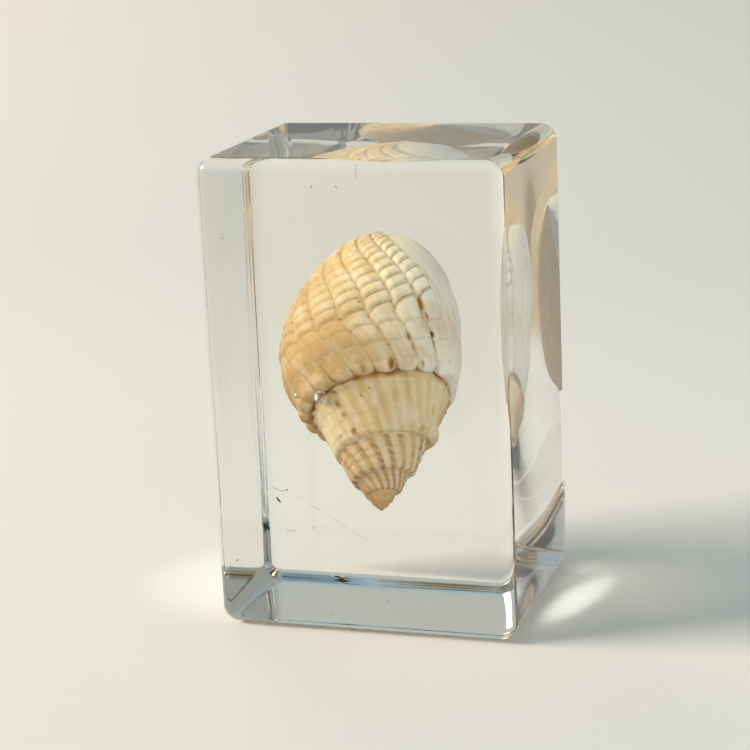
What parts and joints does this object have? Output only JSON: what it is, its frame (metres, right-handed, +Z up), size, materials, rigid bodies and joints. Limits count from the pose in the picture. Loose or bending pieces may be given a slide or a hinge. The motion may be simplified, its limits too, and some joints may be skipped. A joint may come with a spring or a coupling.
{
  "type": "shell paperweight",
  "caption": "Clear resin block with rounded edges that holds a ribbed spiral sea shell sealed inside, a desk ornament that rests on its flat base.",
  "frame": {"origin": "middle of the block's underside", "axes": "+Z up, -Y towards the side that shows the shell's back, +X to its right"},
  "size_m": [0.04, 0.0318, 0.062],
  "materials": {
    "clear_resin": "polished clear cast resin",
    "shell_lime": "cream and tan shell lime, satin to dull"
  },
  "bodies": {
    "root": {"resin_front": "clear_resin", "resin_back": "clear_resin", "shell": "shell_lime"}
  },
  "joints": []
}
